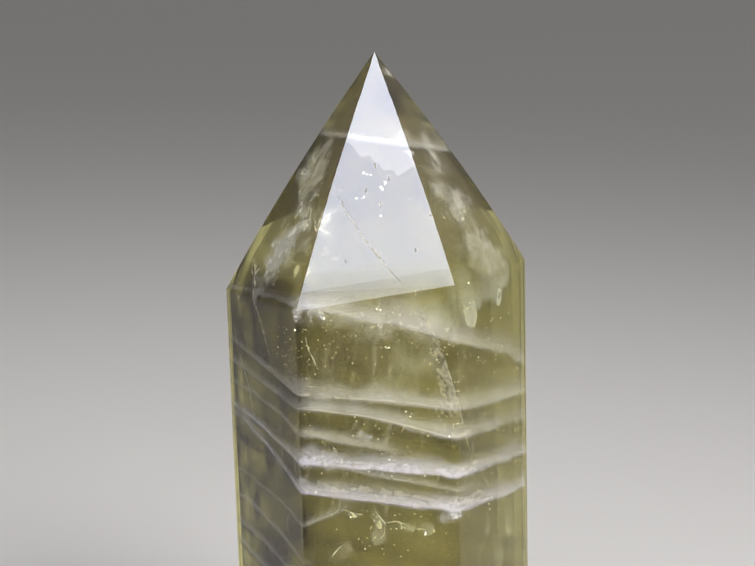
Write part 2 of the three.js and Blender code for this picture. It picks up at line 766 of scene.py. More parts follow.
@dataclass
class HazeShell:
    """A ghost of the crystal's outline a little way in: a thin, uneven haze that dims what is behind."""

    name: str
    depth_mm: float
    cover: float
    seed: int

    # The bearings, from 0 at the front and rising to the right, and the heights where it fades in and out.
    from_deg: float = -400.0
    from_soft_deg: float = 12.0
    to_deg: float = 400.0
    to_soft_deg: float = 5.0
    ceiling: float = 999.0
    ceiling_soft: float = 10.0
    foot: float = 0.7
    foot_soft: float = 0.1

    # Its lumps, and how far it strays from an even depth.
    skin: float = 0.4
    lumpy: float = 0.65
    lump_mm: Point = (10.0, 10.0, 22.0)
    rounding: int = 5
    swell: float = 0.3
    swell_mm: Point = (14.0, 14.0, 20.0)
    wander_deg: float = 2.0
    wander_mm: Point = (7.0, 7.0, 12.0)
    tip_gap: float = 1.6
    inset_mm: float = 0.3
    least_mm: float = 0.05
    farthest_mm: float = 60.0
    turns: int = 120
    levels: int = 110

    def build(self, shape: CrystalShape, material: bpy.types.Material) -> bpy.types.Object:
        """Wrap the haze around the axis at its depth under the faces.

        Args:
            shape: the crystal's outside.
            material: the haze's finish.

        Returns:
            The finished shell.
        """
        angles = np.linspace(0, 2 * math.pi, self.turns, endpoint=False)
        aim = np.column_stack([np.cos(angles), np.sin(angles)])
        top = shape.height - self.tip_gap * self.depth_mm
        aims = np.tile(aim, (self.levels, 1))
        heights = np.repeat(np.linspace(self.foot, top, self.levels), self.turns)

        def place(distance: np.ndarray) -> np.ndarray:
            """Lay one point of the shell for each ray, at its distance from the axis."""
            return np.column_stack([aims * distance[:, None], heights])

        reach = shape.reach(self.farthest_mm, place, len(heights), self.depth_mm)
        grid = (self.levels, self.turns)
        steps = range(-self.rounding, self.rounding + 1)
        turned = [np.roll(reach.reshape(grid), step, axis=1) for step in steps]
        smooth = np.mean(turned, axis=0).reshape(-1)
        swell = Cloudiness(self.seed, self.swell_mm, 3).at(place(smooth)) - 0.5
        distance = np.maximum(smooth * (1 + self.swell * swell) - self.inset_mm, self.least_mm)
        points = shape.keep_within(place(distance), self.skin)
        lumps = parted(Cloudiness(self.seed + 3, self.lump_mm, 4).at(points), Parting.HAZE)
        wander = Cloudiness(self.seed + 4, self.wander_mm, 3).at(points) - 0.5
        bearing = np.degrees(np.arctan2(points[:, 0], -points[:, 1])) + 2 * self.wander_deg * wander
        near = contrast(bearing, self.from_deg, self.from_deg + self.from_soft_deg)
        near *= 1 - contrast(bearing, self.to_deg - self.to_soft_deg, self.to_deg)
        near *= 1 - contrast(points[:, 2], self.ceiling - self.ceiling_soft, self.ceiling)
        near *= contrast(points[:, 2], self.foot - self.foot_soft, self.foot + self.foot_soft)
        cover = self.cover * near * (1 - self.lumpy + self.lumpy * lumps)
        growing = Growing()
        growing.grid(points.reshape(*grid, 3), cover.reshape(grid), True)
        return growing.piece(self.name, material)


@dataclass(frozen=True)
class BrightFilm:
    """A thin film of air in an open crack, which mirrors light like silver wherever it faces a lamp."""

    name: str
    colour: str = "#f4f4e8"
    roughness: float = 0.22

    def material(self) -> bpy.types.Material:
        """Build the finish: a satin mirror whose cover is the mesh's own.

        Returns:
            The finish.
        """
        # Light can't cross the air gap, so the crack throws all of it back as a small white flash.
        material, tree = new_material(self.name)
        cover = add(tree, "ShaderNodeAttribute", {"attribute_name": COVER})
        shader = add(
            tree,
            "ShaderNodeBsdfPrincipled",
            links={"Alpha": cover.outputs["Fac"]},
            values={"Base Color": linear(self.colour), "Metallic": 1.0, "Roughness": self.roughness},
        )
        add(tree, "ShaderNodeOutputMaterial", links={"Surface": shader.outputs["BSDF"]})
        return material


@dataclass
class WispCloud:
    """A cloud of bubbles: many small curved wisps with soft edges, scattered through the stone."""

    name: str
    centre: Point
    radius: Point
    count: int
    wisp_mm: float
    cover: float
    seed: int
    slender: float = 1.0
    facing: Point = (0.0, -1.0, 0.35)
    scatter: float = 0.7
    upright: Point = (0.2, 0.1, 1.0)
    spread: float = 0.5
    sizes: tuple[float, float] = (0.5, 1.3)
    densities: tuple[float, float] = (0.5, 1.2)
    tongues: tuple[int, int] = (2, 5)
    most_turn: float = 6.0
    raggedness: float = 0.35
    roughness: tuple[float, float] = (0.3, 1.0)
    most_bend: float = 0.4
    grain_mm: Point = (2.2, 2.2, 3.2)
    skin: float = 0.3
    innermost: float = 0.04
    rings: int = 6
    turns: int = 14

    def build(self, shape: CrystalShape, material: bpy.types.Material) -> bpy.types.Object:
        """Scatter the wisps.

        Args:
            shape: the crystal's outside, which every wisp keeps within.
            material: their finish.

        Returns:
            All the wisps as one piece.
        """
        draw = np.random.RandomState(self.seed)
        growing = Growing()
        angles = np.linspace(0, 2 * math.pi, self.turns, endpoint=False)
        shares = np.linspace(self.innermost, 1, self.rings)
        for _ in range(self.count):
            middle = np.array(self.centre) + np.array(self.radius) * draw.normal(0, self.spread, 3)
            normal = np.array(self.facing) + draw.normal(0, self.scatter, 3)
            normal /= np.linalg.norm(normal)
            side = np.cross(normal, self.upright)
            side /= np.linalg.norm(side)
            upper = np.cross(normal, side)
            wide, tall = self.wisp_mm * draw.uniform(*self.sizes, 2) * (1 / self.slender, self.slender)
            tongues = draw.randint(*self.tongues)
            turned = angles * tongues + draw.uniform(0, self.most_turn)
            ragged = 1 + self.raggedness * np.sin(turned) * draw.uniform(*self.roughness)
            bend = draw.uniform(-self.most_bend, self.most_bend)
            grid = np.empty((self.rings, self.turns, 3))
            for row, share in enumerate(shares):
                reach = share * ragged
                across = wide * reach * np.cos(angles)
                along = tall * reach * np.sin(angles)
                bulge = bend * (across**2 + along**2) / self.wisp_mm
                grid[row] = middle + np.outer(across, side) + np.outer(along, upper)
                grid[row] += np.outer(bulge, normal)
            fall = np.repeat((1 - shares**2)[:, None] ** 2, self.turns, axis=1)
            flat = shape.keep_within(grid.reshape(-1, 3), self.skin)
            grain = parted(Cloudiness(self.seed + 1, self.grain_mm, 3).at(flat), Parting.WISP)
            grain = grain.reshape(self.rings, self.turns)
            cover = self.cover * draw.uniform(*self.densities) * fall * grain
            growing.grid(flat.reshape(self.rings, self.turns, 3), cover, True)
        return growing.piece(self.name, material)


def curve_through(knots: np.ndarray, count: int, rounding: int) -> np.ndarray:
    """Lay evenly spaced points along a line through knots, with its corners rounded.

    Args:
        knots: rows of x, y, z in millimetres.
        count: how many points to lay.
        rounding: how many points to each side are averaged.

    Returns:
        Rows of x, y, z along the curve.
    """
    lengths = np.concatenate([[0], np.cumsum(np.linalg.norm(np.diff(knots, axis=0), axis=1))])
    at = np.linspace(0, lengths[-1], count)
    curve = np.column_stack([np.interp(at, lengths, knots[:, k]) for k in range(3)])
    padded = np.vstack([curve[:1]] * rounding + [curve] + [curve[-1:]] * rounding)
    return np.mean([padded[k : k + count] for k in range(2 * rounding + 1)], axis=0)


@dataclass
class FineLines:
    """Hairlines: ragged threads that follow the surface at a depth, or lie just proud of the polish."""

    name: str
    lines: tuple[tuple[Point, ...], ...]
    width_mm: float
    cover: float
    seed: int
    skin: float = 0.3
    sway_mm: float = 0.8
    outwards: Point = (0.0, -0.86, 0.5)
    sway_lump_mm: float = 2.5
    sways_per_length: float = 6.0
    ragged_mm: float = 0.7
    torn_mm: float = 1.6
    thinnest: float = 0.3
    faintest: float = 0.3
    taper: float = 0.4
    rounding: int = 4
    columns: int = 120

    def build(self, shape: CrystalShape, material: bpy.types.Material) -> bpy.types.Object:
        """Draw every line.

        Args:
            shape: the crystal's outside, which the lines follow.
            material: their finish.

        Returns:
            All the lines as one piece.
        """
        growing = Growing()
        for knots in self.lines:
            curve = curve_through(np.array(knots), self.columns, self.rounding)
            side = np.cross(curve[-1] - curve[0], self.outwards)
            side /= np.linalg.norm(side)
            length = np.linalg.norm(curve[-1] - curve[0])
            sway = Cloudiness(self.seed, even(self.sway_lump_mm), 4).at(curve) - 0.5
            curve = curve + np.outer(sway * min(self.sway_mm, length / self.sways_per_length), side)
            ragged = parted(Cloudiness(self.seed + 1, even(self.ragged_mm), 2).at(curve), Parting.SOFT)
            half = self.width_mm / 2 * at_least(self.thinnest, ragged)
            strip = np.stack([curve - side * half[:, None], curve, curve + side * half[:, None]])
            flat = strip.reshape(-1, 3) + np.array(self.outwards)
            flat = shape.keep_within(flat, self.skin)
            ends = np.sin(np.linspace(0, math.pi, self.columns)) ** self.taper
            torn = parted(Cloudiness(self.seed + 2, even(self.torn_mm), 3).at(curve), Parting.CRISP)
            cover = np.tile(self.cover * ends * at_least(self.faintest, torn), (3, 1))
            growing.grid(flat.reshape(3, self.columns, 3), cover, False)
        return growing.piece(self.name, material)


@dataclass
class HealedCrack:
    """A crack that healed: a rippled sheet that starts along a line under a face and runs inwards."""

    name: str
    edge: tuple[Point, ...]
    inwards: Point
    run_mm: float
    cover: float
    line: float
    seed: int
    line_mm: float = 0.5
    fade_mm: float = 5.0
    skin: float = 0.3
    press: float = 1.3
    crowding: float = 1.6
    sway_lump_mm: float = 6.0
    sway_share: float = 0.5
    most_sway_mm: float = 4.0
    taper: float = 0.5
    torn_mm: float = 3.0
    torn_least: float = 0.2
    grain_mm: Point = (0.8, 0.8, 1.4)
    grain_least: float = 0.5
    line_least: float = 0.3
    clear_mm: float = 0.08
    rounding: int = 4
    rows: int = 26
    columns: int = 150

    def build(self, shape: CrystalShape, material: bpy.types.Material) -> bpy.types.Object:
        """Run the sheet inwards from its edge.

        Args:
            shape: the crystal's outside, which the sheet keeps within.
            material: its finish.

        Returns:
            The finished sheet.
        """
        edge = curve_through(np.array(self.edge), self.columns, self.rounding)
        depth = shape.depth(edge)
        inner = np.array([0.0, 0.0, edge[:, 2].mean()]) - edge
        inner /= np.linalg.norm(inner, axis=1)[:, None]
        edge = edge + inner * np.maximum(self.skin - depth, 0)[:, None] * self.press
        way = np.array(self.inwards) / np.linalg.norm(self.inwards)
        shares = np.linspace(0, 1, self.rows) ** self.crowding
        sheet = np.stack([edge + way * self.run_mm * share for share in shares])
        flat = sheet.reshape(-1, 3)
        sway = Cloudiness(self.seed, even(self.sway_lump_mm), 4).at(flat) - 0.5
        away = np.repeat(self.run_mm * shares, self.columns)
        across = np.cross(way, edge[-1] - edge[0])
        across /= np.linalg.norm(across)
        flat = flat + np.outer(sway * np.minimum(away, self.most_sway_mm) * self.sway_share, across)
        ends = np.tile(np.sin(np.linspace(0, math.pi, self.columns)) ** self.taper, self.rows)
        torn = parted(Cloudiness(self.seed + 1, even(self.torn_mm), 4).at(flat), Parting.CRISP)
        torn = at_least(self.torn_least, torn)
        grain = parted(Cloudiness(self.seed + 2, self.grain_mm, 3).at(flat), Parting.SOFT)
        cover = self.cover * np.exp(-away / self.fade_mm) * torn * at_least(self.grain_least, grain)
        cover += self.line * np.exp(-away / self.line_mm) * at_least(self.line_least, grain)
        cover *= ends * (shape.depth(flat) > self.clear_mm)
        growing = Growing()
        grid = (self.rows, self.columns)
        growing.grid(flat.reshape(*grid, 3), cover.reshape(grid), False)
        return growing.piece(self.name, material)


@dataclass
class GlintFlakes:
    """Tiny flat cracks along the stone's cleavage, each of which flashes when it faces a lamp."""

    name: str
    places: tuple[Point, ...]
    size_mm: float
    each: int
    spread_mm: float
    seed: int
    facing: Point = (-0.04, -0.94, 0.34)
    scatter: float = 0.06
    corners: tuple[int, int] = (4, 7)
    reaches: tuple[float, float] = (0.3, 1.0)
    flatness: float = 0.6
    clear_mm: float = 0.1

    def build(self, shape: CrystalShape, material: bpy.types.Material) -> bpy.types.Object:
        """Scatter the flakes around their places.

        Args:
            shape: the crystal's outside, which every flake keeps within.
            material: their finish.

        Returns:
            All the flakes as one piece.
        """
        draw = np.random.RandomState(self.seed)
        points: list[np.ndarray] = []
        faces: list[tuple[int, ...]] = []
        for place in self.places:
            for _ in range(self.each):
                middle = np.array(place) + draw.normal(0, self.spread_mm, 3)
                normal = np.array(self.facing) + draw.normal(0, self.scatter, 3)
                normal /= np.linalg.norm(normal)
                side = np.cross(normal, draw.normal(0, 1, 3))
                side /= np.linalg.norm(side)
                upper = np.cross(normal, side)
                corners = draw.randint(*self.corners)
                angles = np.sort(draw.uniform(0, 2 * math.pi, corners))
                radii = self.size_mm * draw.uniform(*self.reaches, corners)
                wide = np.outer(radii * np.cos(angles), side)
                flake = middle + wide + np.outer(radii * self.flatness * np.sin(angles), upper)
                if shape.depth(flake).min() > self.clear_mm:
                    first = sum(len(part) for part in points)
                    faces.append(tuple(range(first, first + corners)))
                    points.append(flake)
        gathered = np.vstack(points)
        return sealed_piece(self.name, gathered, faces, np.ones(len(gathered)), material)


@dataclass(frozen=True)
class Lobe:
    """Where one lobe hangs, how wide it gets, how dense it is and which way it faces."""

    head: Point
    foot: Point
    width_mm: float
    cover: float
    facing: Point


@dataclass
class MilkyLobes:
    """Pockets of bubbles that hang like drips: each a thin bulging sheet with a round, dense foot."""

    name: str
    lobes: tuple[Lobe, ...]
    seed: int
    bulge: float = 0.18
    most_round: float = 0.6
    neck: float = 0.5
    flat_head: float = 0.3
    sway_lump_mm: float = 4.0
    sway_mm: float = 0.9
    skin: float = 0.4
    grain_mm: Point = (1.6, 1.6, 2.4)
    grain_least: float = 0.75
    edge_from: float = 0.35
    dense_from: float = 0.75
    head_share: float = 0.5
    rows: int = 26
    columns: int = 17

    def build(self, shape: CrystalShape, material: bpy.types.Material) -> bpy.types.Object:
        """Hang every lobe.

        Args:
            shape: the crystal's outside, which the lobes keep within.
            material: their finish.

        Returns:
            All the lobes as one piece.
        """
        growing = Growing()
        for lobe in self.lobes:
            self.hang(lobe, shape, growing)
        return growing.piece(self.name, material)

    def hang(self, lobe: Lobe, shape: CrystalShape, growing: Growing) -> None:
        """Add one lobe to the mesh in the making.

        Args:
            lobe: where it hangs and how dense it is.
            shape: the crystal's outside.
            growing: the mesh that takes it.
        """
        head, foot = np.array(lobe.head), np.array(lobe.foot)
        length = np.linalg.norm(foot - head)
        way = (foot - head) / length
        side = np.cross(way, lobe.facing)
        side /= np.linalg.norm(side)
        out = np.cross(side, way)
        rows, columns = np.linspace(0, 1, self.rows), np.linspace(-1, 1, self.columns)
        down, across = np.meshgrid(rows, columns, indexing="ij")
        round_share = min(self.most_round, lobe.width_mm / 2 / length)
        ending = np.clip((down - (1 - round_share)) / round_share, 0, 1)
        half = lobe.width_mm / 2 * at_least(self.neck, down) * np.sqrt(1 - ending**2)
        bulge = self.bulge * lobe.width_mm * (1 - across**2) * at_least(self.flat_head, down)
        points = head + np.multiply.outer(down * length, way)
        points += np.multiply.outer(half * across, side) + np.multiply.outer(bulge, out)
        flat = points.reshape(-1, 3)
        sway = Cloudiness(self.seed, even(self.sway_lump_mm), 3).at(flat) - 0.5
        flat = shape.keep_within(flat + np.outer(sway * self.sway_mm, side), self.skin)
        grain = parted(Cloudiness(self.seed + 1, self.grain_mm, 3).at(flat), Parting.LOBE)
        edge = 1 - contrast(np.abs(across), self.edge_from, 1.0)
        dense = contrast(down, 0.0, self.dense_from) * at_least(self.head_share, down**2) * edge
        cover = lobe.cover * dense * at_least(self.grain_least, grain).reshape(self.rows, self.columns)
        growing.grid(flat.reshape(self.rows, self.columns, 3), cover, False)


@dataclass
class CrystalBody:
    """The clear stone itself."""

    shape: CrystalShape

    def dress(self) -> bpy.types.Object:
        """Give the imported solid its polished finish.

        Returns:
            The dressed solid.
        """
        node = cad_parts[self.shape.node]
        node.data.materials.clear()
        node.data.materials.append(PolishedCitrine().material())
        LOG.info("%s: packed solid dressed as lap-polished citrine", node.name)
        return node


@dataclass
class Inclusions:
    """Everything sealed inside the crystal as it grew."""

    shape: CrystalShape

    # Which way a small sheet faces to show broadest behind the front face or behind the right ones.
    front: Point = (0.0, -1.0, 0.3)
    right: Point = (0.85, -0.5, 0.15)

    def growth_veils(self) -> None:
        """Lay the sheets that cross the column one over another."""
        finishes = {kind: MilkyVeil(*kind.value).material() for kind in Milk}
        veils = (
            GrowthVeil(
                "veil_tip", level=141.2, lean_x=-0.16, lean_y=-0.11, fold=0.0, line=0.5, mist=0.06,
                curtain=0.4, curtain_mm=1.6, core=0.0, seed=1,
            ),
            GrowthVeil(
                "veil_shoulder", level=107.9, lean_x=-0.26, lean_y=-0.26, fold=0.2, line=0.5,
                mist=0.34, curtain=0.5, curtain_mm=4.5, left_shade_share=0.5, right_shade_share=0.6, seed=11,
            ),
            GrowthVeil(
                "veil_upper", level=92.5, lean_x=-0.147, fold_mm=7.0, line=0.65, mist=0.35,
                curtain=0.45, curtain_mm=3.6, seed=21,
            ),
            GrowthVeil(
                "veil_second", level=88.4, lean_x=-0.21, fold=0.17, fold_mm=15.0, line=0.65,
                mist=0.3, curtain=0.45, seed=31,
            ),
            GrowthVeil(
                "veil_third", level=83.3, lean_x=-0.23, fold=0.3, fold_mm=15.0, line=0.4, mist=0.2,
                curtain=0.35, curtain_mm=2.0, span=(-99.0, 6.0), seed=41,
            ),
            GrowthVeil(
                "veil_broad", level=79.2, lean_x=-0.12, fold=0.5, fold_mm=16.0, line=0.95,
                mist=0.45, curtain=0.75, milk=Milk.DENSE, seed=51,
            ),
            GrowthVeil(
                "veil_thin", level=78.1, lean_x=-0.25, line=0.6, mist=0.1, curtain=0.2,
                curtain_mm=1.2, span=(-13.0, 22.0), seed=61,
            ),
            GrowthVeil(
                "veil_lower", level=73.0, lean_x=-0.165, fold=1.0, fold_mm=10.0, line=1.0,
                mist=0.45, curtain=0.7, milk=Milk.DENSE, seed=71,
            ),
            GrowthVeil(
                "veil_fork", level=74.5, lean_x=0.45, fold=1.25, fold_mm=20.0, line=0.4, mist=0.04,
                curtain=0.3, curtain_mm=1.5, core=0.0, span=(-99.0, -3.0), seed=81,
            ),
            GrowthVeil(
                "veil_low_left", level=59.5, lean_x=-0.1, fold=0.75, fold_mm=12.0, line=0.4,
                mist=0.1, curtain_mm=2.0, span=(-99.0, -12.0), seed=86,
            ),
            GrowthVeil(
                "veil_deep", level=53.0, lean_x=-0.2, fold=0.4, fold_mm=20.0, line=0.5, mist=0.3,
                seed=91,
            ),
            GrowthVeil(
                "veil_deeper", level=47.5, lean_x=-0.2, fold=0.45, fold_mm=20.0, line=0.4, mist=0.3,
                seed=96,
            ),
            GrowthVeil(
                "veil_root", level=34.0, lean_x=-0.15, line=0.5, mist=0.4, curtain=0.4, seed=101,
            ),
            GrowthVeil(
                "veil_base", level=2.4, lean_x=0.0, lean_y=0.0, fold=0.0, line=0.5, mist=0.7,
                fade_mm=60.0, curtain=0.35, core=0.6, left_shade_share=1.0, right_shade_share=1.0, seed=121,
            ),
            GrowthVeil(
                "veil_foot", level=18.0, lean_x=-0.1, line=0.6, mist=0.6, curtain=0.6, core=0.2,
                seed=111,
            ),
        )
        for veil in veils:
            veil.build(self.shape, finishes[veil.milk])

    def clouds(self) -> None:
        """Put clouds in the tip, at the shoulders, down the column and in the root, and knots in the veils."""
        cloudy = MilkyVeil("milky_bubble_cloud", "#eceadf", wisp_mm=1.4, wisp_low=0.3).material()
        clouds = (
            WispCloud(
                "cloud_left_upper", centre=(-10.5, -4.0, 133.0), radius=(4.0, 4.0, 7.0), count=70,
                wisp_mm=2.6, cover=0.42, seed=291,
            ),
            WispCloud(
                "cloud_right_upper", centre=(11.0, -6.0, 134.0), radius=(4.5, 5.0, 7.0), count=50,
                wisp_mm=2.6, cover=0.3, seed=296,
            ),
            WispCloud(
                "cloud_left_facet", centre=(-14.0, -11.0, 122.0), radius=(9.0, 4.0, 7.0), count=150,
                wisp_mm=2.4, cover=0.7, seed=301,
            ),
            WispCloud(
                "cloud_left_shoulder", centre=(-18.0, -11.0, 117.0), radius=(6.0, 3.5, 5.0),
                count=120, wisp_mm=2.4, cover=0.75, seed=311,
            ),
            WispCloud(
                "cloud_right_facet", centre=(14.5, -9.5, 125.0), radius=(6.0, 4.0, 8.0), count=90,
                wisp_mm=2.6, cover=0.36, seed=321,
            ),
            WispCloud(
                "cloud_right_shoulder", centre=(19.0, -11.0, 117.0), radius=(9.0, 5.0, 5.0),
                count=110, wisp_mm=2.2, cover=0.36, seed=331,
            ),
            WispCloud(
                "cloud_front", centre=(0.0, -21.5, 108.0), radius=(13.0, 4.0, 4.0), count=70,
                wisp_mm=3.4, cover=0.42, seed=341,
            ),
            WispCloud(
                "cloud_tip", centre=(3.7, -0.3, 151.6), radius=(1.4, 0.8, 1.5), count=12,
                wisp_mm=1.0, cover=0.5, seed=351,
            ),
            WispCloud(
                "cloud_panel", centre=(4.0, -20.0, 99.5), radius=(5.0, 3.0, 6.0), count=24,
                wisp_mm=5.0, cover=0.22, seed=355,
            ),
            WispCloud(
                "cloud_front_upper", centre=(-4.0, -20.0, 100.0), radius=(10.0, 5.0, 5.0), count=60,
                wisp_mm=1.8, cover=0.3, seed=358, slender=2.2, scatter=0.4,
            ),
            WispCloud(
                "cloud_streaks", centre=(0.0, -19.0, 86.0), radius=(24.0, 6.0, 24.0), count=220,
                wisp_mm=1.5, cover=0.42, seed=361, slender=2.6, scatter=0.3,
            ),
            WispCloud(
                "cloud_root", centre=(0.0, 0.0, 12.0), radius=(24.0, 20.0, 12.0), count=60,
                wisp_mm=8.0, cover=0.3, seed=381,
            ),
        )
        for cloud in clouds:
            cloud.build(self.shape, cloudy)
        dense = MilkyVeil("dense_bubble_knot", "#eeecf2", wisp_mm=0.7, wisp_low=0.4).material()
        knots = (
            WispCloud(
                "knot_broad_left", centre=(-11.0, -24.6, 81.2), radius=(5.0, 1.5, 1.3), count=30,
                wisp_mm=1.7, cover=0.5, seed=382,
            ),
            WispCloud(
                "knot_third_end", centre=(-2.6, -24.8, 85.6), radius=(1.2, 0.8, 1.4), count=12,
                wisp_mm=1.1, cover=0.55, seed=383,
            ),
            WispCloud(
                "knot_front_left", centre=(-14.4, -24.6, 76.2), radius=(1.4, 1.4, 1.6), count=16,
                wisp_mm=1.1, cover=0.6, seed=384,
            ),
            WispCloud(
                "knot_lower_right", centre=(12.8, -24.8, 69.8), radius=(2.2, 1.0, 1.4), count=18,
                wisp_mm=1.2, cover=0.55, seed=385,
            ),
            WispCloud(
                "knot_tip_veil", centre=(6.9, -11.6, 137.4), radius=(0.8, 0.6, 0.6), count=8,
                wisp_mm=0.8, cover=0.6, seed=386,
            ),
            WispCloud(
                "knot_facet_foot", centre=(-12.0, -24.6, 110.5), radius=(3.5, 1.2, 1.8), count=26,
                wisp_mm=1.5, cover=0.6, seed=387,
            ),
            WispCloud(
                "knot_veil_middle", centre=(1.0, -24.6, 109.0), radius=(4.5, 1.4, 1.8), count=30,
                wisp_mm=1.5, cover=0.55, seed=388,
            ),
        )
        for knot in knots:
            knot.build(self.shape, dense)

    def cracks(self) -> None:
        """Run the healed cracks in from the surface and scatter the glints."""
        healed = MilkyVeil("healed_crack_film", "#efecdf", wisp_mm=1.0, wisp_low=0.4).material()
        front_edge = (
            (5.9, -24.6, 115.4),
            (9.0, -25.8, 109.1),
            (12.4, -25.8, 101.5),
            (13.8, -25.8, 96.5),
            (15.2, -24.9, 90.3),
            (16.2, -23.3, 85.5),
            (17.4, -21.3, 79.7),
        )
        left_edge = (
            (-24.0, -2.4, 116.4),
            (-23.6, -5.8, 114.2),
            (-23.0, -11.7, 107.5),
            (-22.0, -13.4, 104.1),
            (-20.5, -15.9, 99.0),
        )
        cracks = (
            HealedCrack(
                "crack_front_right", front_edge, inwards=(-0.9, 1.0, 0.1), run_mm=11.0,
                cover=1.3, line=0.2, seed=401, fade_mm=4.5,
            ),
            HealedCrack(
                "crack_left_shoulder", left_edge, inwards=(0.9, 1.0, 0.0), run_mm=10.0,
                cover=0.5, line=0.9, seed=411, line_mm=0.8, fade_mm=6.0,
            ),
        )
        for crack in cracks:
            crack.build(self.shape, healed)
        film = BrightFilm("open_crack_air_film").material()
        front_places = (
            (-15.1, -24.8, 106.6),
            (0.3, -25.0, 110.6),
            (1.8, -25.0, 103.0),
            (6.3, -25.0, 90.0),
            (13.7, -25.0, 85.4),
            (-6.0, -24.8, 70.4),
            (-4.5, -24.8, 69.9),
            (3.4, -24.8, 67.8),
            (8.6, -24.8, 67.0),
            (-9.5, -24.9, 108.6),
        )
        left_places = (
            (-27.2, -4.2, 108.6),
            (-26.3, -5.8, 107.8),
            (-16.8, -21.2, 106.5),
            (-23.6, -5.2, 115.4),
        )
        right_places = (
            (17.0, -20.8, 114.6),
            (18.6, -17.8, 98.6),
            (20.2, -15.0, 86.6),
            (21.6, -12.8, 104.9),
        )
        tip_places = (
            (-1.0, -11.4, 133.2),
            (2.0, -12.2, 131.0),
            (-2.4, -13.4, 129.0),
            (0.6, -15.0, 125.4),
        )
        glints = (
            GlintFlakes(
                "glints_front", front_places, size_mm=0.24, each=4, spread_mm=0.4, seed=501,
            ),
            GlintFlakes(
                "glints_left", left_places, size_mm=0.24, each=4, spread_mm=0.35, seed=511,
                facing=(-0.515, -0.788, 0.336),
            ),
            GlintFlakes(
                "glints_right", right_places, size_mm=0.24, each=4, spread_mm=0.35, seed=521,
                facing=(0.474, -0.814, 0.335),
            ),
            GlintFlakes(
                "glints_tip", tip_places, size_mm=0.3, each=4, spread_mm=0.6, seed=531,
                facing=(-0.08, -0.83, 0.55),
            ),
        )
        for glint in glints:
            glint.build(self.shape, film)

    def specks(self) -> None:
        """Scatter the white specks, and draw the hairlines and the scratches."""
        white = MilkyVeil("white_speck", "#f4f2e8", wisp_mm=0.5, wisp_low=1.0).material()
        rightwards, leftwards = (0.42, -0.9, 0.2), (-0.42, -0.9, 0.2)
        shoulder = ((-16.6, -21.5, 102.0), (-14.5, -23.5, 99.0), (-18.0, -18.0, 98.0))
        upper = ((-8.0, -24.4, 104.0), (2.0, -24.6, 108.0), (8.0, -24.6, 106.0))
        crack = ((8.6, -23.8, 106.0), (11.0, -23.8, 101.0), (13.0, -23.8, 96.0), (15.0, -23.0, 89.0))
        column = ((-8.0, -23.6, 86.0), (6.0, -23.6, 82.0), (0.0, -23.6, 66.0))
        side = ((20.0, -12.0, 98.0), (20.0, -12.0, 70.0))
        tip = ((-14.0, -9.0, 122.0), (-8.0, -8.0, 130.0), (13.0, -10.0, 124.0))
        # Real specks are a tenth of a millimetre or less: they are drawn up to 0.5 mm wide, to show.
        specks = (
            GlintFlakes(
                "specks_left_shoulder", shoulder, size_mm=0.24, each=30, spread_mm=2.2, seed=701,
                facing=leftwards, scatter=0.4,
            ),
            GlintFlakes(
                "specks_front_upper", upper, size_mm=0.24, each=45, spread_mm=3.0, seed=711,
                facing=self.front, scatter=0.4,
            ),
            GlintFlakes(
                "specks_crack", crack, size_mm=0.24, each=30, spread_mm=1.4, seed=721,
                facing=self.front, scatter=0.4,
            ),
            GlintFlakes(
                "specks_front", column, size_mm=0.26, each=60, spread_mm=5.0, seed=731,
                facing=self.front, scatter=0.4,
            ),
            GlintFlakes(
                "specks_right", side, size_mm=0.26, each=60, spread_mm=5.0, seed=741, facing=rightwards,
                scatter=0.4,
            ),
            GlintFlakes(
                "specks_tip", tip, size_mm=0.26, each=50, spread_mm=3.0, seed=751,
                facing=self.front, scatter=0.5,
            ),
        )
        for scatter in specks:
            scatter.build(self.shape, white)
        self.hairlines(white)
        self.scratches()

    def hairlines(self, white: bpy.types.Material) -> None:
        """Draw the short open cracks that show as hairlines.

        Args:
            white: their finish.
        """
        hairs = (
            ((-24.3, -2.4, 116.6), (-24.2, -5.0, 114.4), (-23.4, -9.5, 110.0), (-22.6, -11.0, 106.5)),
            ((-29.0, -1.6, 104.0), (-28.4, -3.4, 98.0), (-26.6, -7.0, 92.0), (-25.2, -9.6, 84.0)),
            ((-12.5, -26.0, 105.4), (-12.0, -26.0, 102.8), (-10.7, -26.0, 99.5)),
        )
        left = FineLines(
            "hairlines_left", hairs, width_mm=0.24, cover=0.6, seed=761, outwards=(-0.7, -0.7, 0.2)
        )
        left.build(self.shape, white)
        rims = (
            (
                (-1.8, -26.1, 72.6),
                (-1.0, -26.1, 70.0),
                (0.6, -26.1, 68.0),
                (0.4, -26.1, 65.6),
                (-1.4, -26.1, 64.0),
            ),
            ((-1.4, -26.1, 64.0), (-1.9, -26.1, 65.4), (-0.9, -26.1, 67.6), (-2.2, -26.1, 69.8)),
            ((0.6, -26.1, 68.0), (2.5, -26.1, 68.3), (5.2, -26.1, 67.3)),
            ((3.2, -26.1, 67.5), (5.0, -26.1, 66.5), (7.4, -26.1, 66.7), (9.4, -26.1, 65.7)),
            ((-7.4, -26.1, 71.0), (-5.6, -26.1, 70.2), (-3.4, -26.1, 69.7)),
            ((-10.6, -26.1, 60.4), (-8.4, -26.1, 63.2), (-5.8, -26.1, 64.6)),
        )
        low = FineLines(
            "hairlines_low", rims, width_mm=0.26, cover=0.55, seed=766, skin=1.2, sway_mm=0.5
        )
        low.build(self.shape, white)

